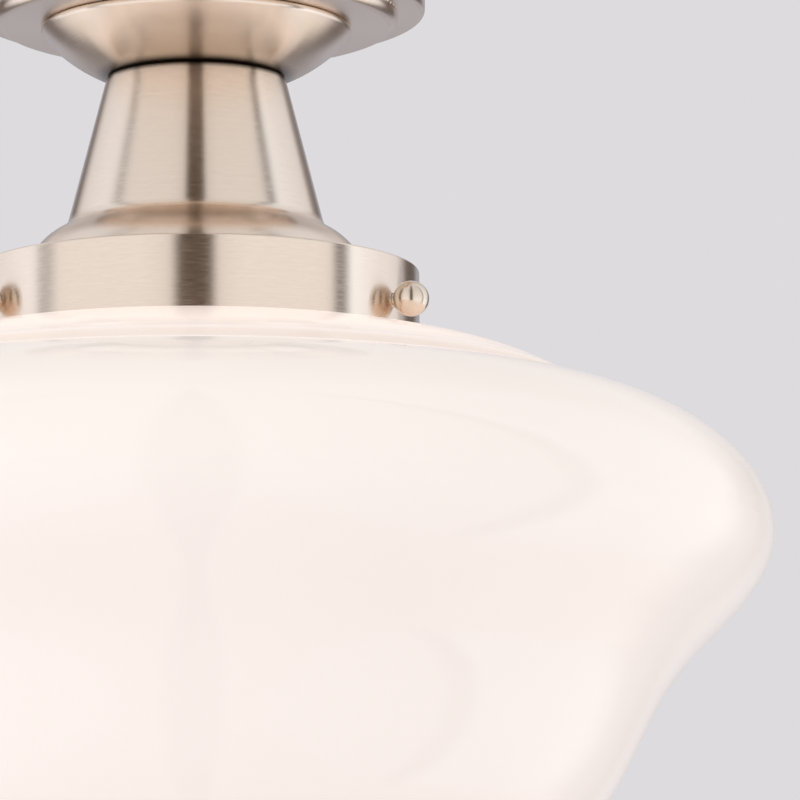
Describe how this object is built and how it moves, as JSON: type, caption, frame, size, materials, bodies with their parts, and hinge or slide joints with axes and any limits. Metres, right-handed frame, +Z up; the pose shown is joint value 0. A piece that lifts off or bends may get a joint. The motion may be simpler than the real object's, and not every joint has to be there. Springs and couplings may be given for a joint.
{
  "type": "semi flush ceiling light",
  "caption": "Ceiling light with a stepped canopy, a flared neck and a band with ball-headed thumbscrews that grip a wide, closed opal glass shade with a shoulder and a rounded bowl.",
  "frame": {"origin": "centre of the mounting plate's slot pattern, in the plane of the ceiling, of the plate's top face and of the canopy's rim", "axes": "+Z up into the ceiling; +X along the mounting plate's slotted bar; one thumbscrew points along +Y"},
  "size_m": [0.3373, 0.3372, 0.2975],
  "materials": {
    "satin_nickel": "satin nickel, fine brushing round the axis",
    "polished_nickel": "polished nickel",
    "opal_glass": "glossy opal white, opaque to view",
    "bright_steel": "zinc plated",
    "green_screw": "green dyed plating",
    "soft_tip": "natural nylon",
    "porcelain": "glazed porcelain",
    "brass": "bright brass",
    "bulb_metal": "bright aluminium",
    "bulb_insulator": "black glass",
    "frosted_glass": "frosted, soft white",
    "black_insulation": "smooth insulation",
    "white_insulation": "smooth insulation",
    "green_insulation": "smooth insulation",
    "connector_plastic": "moulded, finely ribbed"
  },
  "bodies": {
    "fixture": {"canopy": "satin_nickel", "canopy_cup": "satin_nickel", "neck_cone": "satin_nickel", "shade_holder": "satin_nickel", "canopy_screws": "polished_nickel", "mounting_plate": "bright_steel", "threaded_nipple": "bright_steel", "upper_nut": "bright_steel", "upper_washer": "bright_steel", "lower_nut": "bright_steel", "lower_washer": "bright_steel", "screw_bosses": "bright_steel", "holder_bracket": "bright_steel", "bracket_screws": "bright_steel", "ground_screw": "green_screw", "lamp_holder": "porcelain", "screw_shell": "brass", "centre_contact": "brass", "black_lead": "black_insulation", "white_lead": "white_insulation", "ground_lead": "green_insulation", "wire_connectors": "connector_plastic"},
    "shade": {"glass_shade": "opal_glass"},
    "bulb_tip": {"bulb_contact": "bulb_insulator"},
    "bulb": {"bulb_base": "bulb_metal", "bulb_glass": "frosted_glass"},
    "tip_1": {"screw_tip_1": "soft_tip"},
    "screw_1": {"thumbscrew_1": "polished_nickel"},
    "tip_2": {"screw_tip_2": "soft_tip"},
    "screw_2": {"thumbscrew_2": "polished_nickel"},
    "tip_3": {"screw_tip_3": "soft_tip"},
    "screw_3": {"thumbscrew_3": "polished_nickel"}
  },
  "joints": [
    {"name": "shade_lower", "type": "slide", "parent": "fixture", "child": "shade", "axis": [0, 0, -1], "range_m": [0, 0.014]},
    {"name": "thumbscrew_1_travel", "type": "slide", "parent": "fixture", "child": "tip_1", "axis": [0.866, -0.5, 0], "range_m": [0, 0.0029]},
    {"name": "thumbscrew_1_turn", "type": "hinge", "parent": "tip_1", "child": "screw_1", "pos_m": [0.06183, -0.0357, -0.1072], "axis": [0.866, -0.5, 0], "range_deg": [0, 1320]},
    {"name": "thumbscrew_2_travel", "type": "slide", "parent": "fixture", "child": "tip_2", "axis": [0, 1, 0], "range_m": [0, 0.0029]},
    {"name": "thumbscrew_2_turn", "type": "hinge", "parent": "tip_2", "child": "screw_2", "pos_m": [0, 0.0714, -0.1072], "axis": [0, 1, 0], "range_deg": [0, 1320]},
    {"name": "thumbscrew_3_travel", "type": "slide", "parent": "fixture", "child": "tip_3", "axis": [-0.866, -0.5, 0], "range_m": [0, 0.0029]},
    {"name": "thumbscrew_3_turn", "type": "hinge", "parent": "tip_3", "child": "screw_3", "pos_m": [-0.06183, -0.0357, -0.1072], "axis": [-0.866, -0.5, 0], "range_deg": [0, 1320]},
    {"name": "bulb_travel", "type": "slide", "parent": "fixture", "child": "bulb_tip", "axis": [0, 0, -1], "range_m": [0, 0.026]},
    {"name": "bulb_turn", "type": "hinge", "parent": "bulb_tip", "child": "bulb", "pos_m": [0, 0, -0.14], "axis": [0, 0, -1], "range_deg": [0, 2570]}
  ],
  "couplings": [
    {"joint": "thumbscrew_1_travel", "follows": "shade_lower", "ratio": 0.207},
    {"joint": "thumbscrew_1_turn", "follows": "shade_lower", "rad_per_m": 1638.1},
    {"joint": "thumbscrew_2_travel", "follows": "shade_lower", "ratio": 0.207},
    {"joint": "thumbscrew_2_turn", "follows": "shade_lower", "rad_per_m": 1638.1},
    {"joint": "thumbscrew_3_travel", "follows": "shade_lower", "ratio": 0.207},
    {"joint": "thumbscrew_3_turn", "follows": "shade_lower", "rad_per_m": 1638.1},
    {"joint": "bulb_travel", "follows": "bulb_turn", "m_per_rad": 0.00057757}
  ]
}
